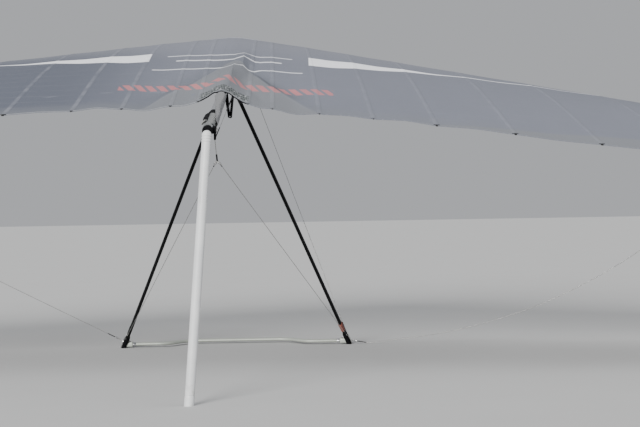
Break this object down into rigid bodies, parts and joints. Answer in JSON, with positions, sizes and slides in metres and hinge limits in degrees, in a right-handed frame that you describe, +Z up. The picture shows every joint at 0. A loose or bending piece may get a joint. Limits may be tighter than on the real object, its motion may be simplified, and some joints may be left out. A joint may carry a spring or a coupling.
{
  "type": "topless hang glider",
  "caption": "Topless flex-wing hang glider parked nose up on its control frame and on a pole under the rear of its keel.",
  "frame": {"origin": "on the floor under the middle of the glider's own box", "axes": "+X to the glider's right, +Y towards the nose, +Z up; the keel's axis lies over X = 0 and rises 11.51 degrees towards the nose"},
  "size_m": [10.2327, 3.6046, 1.9595],
  "materials": {
    "sail_grey": "translucent laminate sailcloth",
    "sail_light": "light laminate sailcloth",
    "tube_silver": "satin anodised",
    "base_bar": "satin anodised, pale",
    "downtube_black": "black anodised",
    "steel": "stainless fittings",
    "stay_cable": "clear coated steel cable",
    "webbing": "woven webbing",
    "rubber": "matt black",
    "pad_grey": "padded cloth",
    "cover_grey": "silvery grey cloth sleeve",
    "pole_white": "silvery white"
  },
  "bodies": {
    "glider": {"apex_bracket": "steel", "base_bar": "base_bar", "corner_bracket_left": "rubber", "corner_bracket_right": "rubber", "downtube_left": "downtube_black", "downtube_right": "downtube_black", "downtube_top_left": "steel", "downtube_top_right": "steel", "front_stay_left": "stay_cable", "front_stay_right": "stay_cable", "keel_band": "webbing", "keel_cover": "cover_grey", "keel_cuff": "pad_grey", "keel_line": "stay_cable", "keel_pocket": "sail_grey", "keel_rear_plug": "rubber", "keel_strap": "webbing", "keel_tube": "tube_silver", "leading_edge_left": "sail_light", "leading_edge_right": "sail_light", "nose_catch": "steel", "nose_cone": "sail_light", "nose_plate": "tube_silver", "pole_foot": "pole_white", "prop_pole": "pole_white", "rear_stay_left": "stay_cable", "rear_stay_right": "stay_cable", "rear_stay_ring": "steel", "rear_stay_tang": "rubber", "rear_strop": "stay_cable", "sail_panel_left": "sail_grey", "sail_panel_right": "sail_grey", "side_stay_left": "stay_cable", "side_stay_right": "stay_cable", "side_stay_tang_left": "steel", "side_stay_tang_right": "steel", "wing_tip_left": "sail_light", "wing_tip_right": "sail_light"},
    "hang_sleeve": {"hang_sleeve": "rubber"},
    "hang_loop": {"hang_loop": "webbing"}
  },
  "joints": [
    {"name": "hang_sideways", "type": "hinge", "parent": "glider", "child": "hang_sleeve", "pos_m": [0, 0.49476, 1.61299], "axis": [0, 0.9799, 0.1995], "range_deg": [-40, 40]},
    {"name": "hang_fore_aft", "type": "hinge", "parent": "hang_sleeve", "child": "hang_loop", "pos_m": [0, 0.49476, 1.61299], "axis": [1, 0, 0], "range_deg": [-20, 50]}
  ]
}
